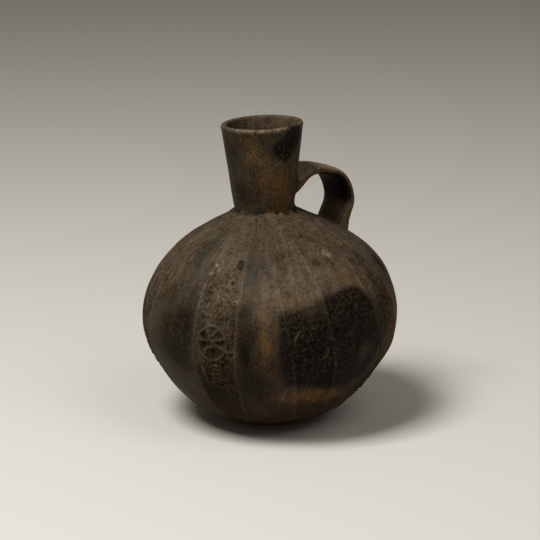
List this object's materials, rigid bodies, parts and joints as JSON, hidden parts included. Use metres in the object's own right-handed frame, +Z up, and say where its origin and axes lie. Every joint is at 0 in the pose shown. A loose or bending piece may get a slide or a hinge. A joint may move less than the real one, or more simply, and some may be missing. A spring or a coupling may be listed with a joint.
{
  "type": "handled jug",
  "caption": "Round-bodied jug of black fired clay with a flaring neck, one strap handle and upright bands of moulded relief.",
  "frame": {"origin": "on the ground under the middle of the whole form", "axes": "+Z up through the mouth, +X towards the handle"},
  "size_m": [0.169, 0.1688, 0.2014],
  "materials": {
    "black_fired_clay": "burnished, smoke-blackened earthenware"
  },
  "bodies": {
    "root": {"vessel": "black_fired_clay"}
  },
  "joints": []
}
